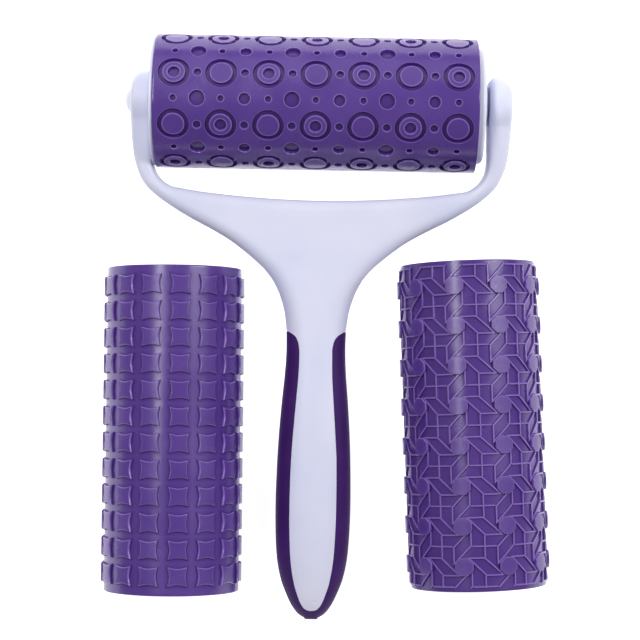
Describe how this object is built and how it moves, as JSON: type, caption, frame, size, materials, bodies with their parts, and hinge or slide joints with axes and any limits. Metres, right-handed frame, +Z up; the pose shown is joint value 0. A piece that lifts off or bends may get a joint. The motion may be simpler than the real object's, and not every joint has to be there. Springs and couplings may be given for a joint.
{
  "type": "textured pattern roller set",
  "caption": "Forked handle with a soft grip and a free-turning core that carries a patterned sleeve, with two more patterned sleeves lying beside it.",
  "frame": {"origin": "middle of the set's bounding box, on the table that it lies on", "axes": "+X along the roller's axis towards its capped end, +Y from the butt of the handle towards the roller, +Z up from the table"},
  "size_m": [0.1402, 0.1838, 0.044],
  "materials": {
    "white_plastic": "satin, pale lilac white",
    "soft_grip": "matt soft touch, dark purple",
    "purple_sleeve": "satin to glossy, purple"
  },
  "bodies": {
    "handle": {"front_shell": "white_plastic", "rear_shell": "white_plastic", "grip_band": "soft_grip"},
    "roller": {"core_barrel": "white_plastic", "left_plug": "white_plastic", "right_cap": "white_plastic", "circles_sleeve": "purple_sleeve"},
    "squares": {"squares_sleeve": "purple_sleeve"},
    "star": {"star_sleeve": "purple_sleeve"}
  },
  "joints": [
    {"name": "roller_spin", "type": "hinge", "parent": "handle", "child": "roller", "pos_m": [-0.00375, 0.07075, 0.0209], "axis": [1, 0, 0], "continuous": true},
    {"name": "squares_lift", "type": "slide", "parent": "handle", "child": "squares", "axis": [0, 0, 1], "range_m": [0, 0.06]},
    {"name": "star_lift", "type": "slide", "parent": "handle", "child": "star", "axis": [0, 0, 1], "range_m": [0, 0.06]}
  ]
}
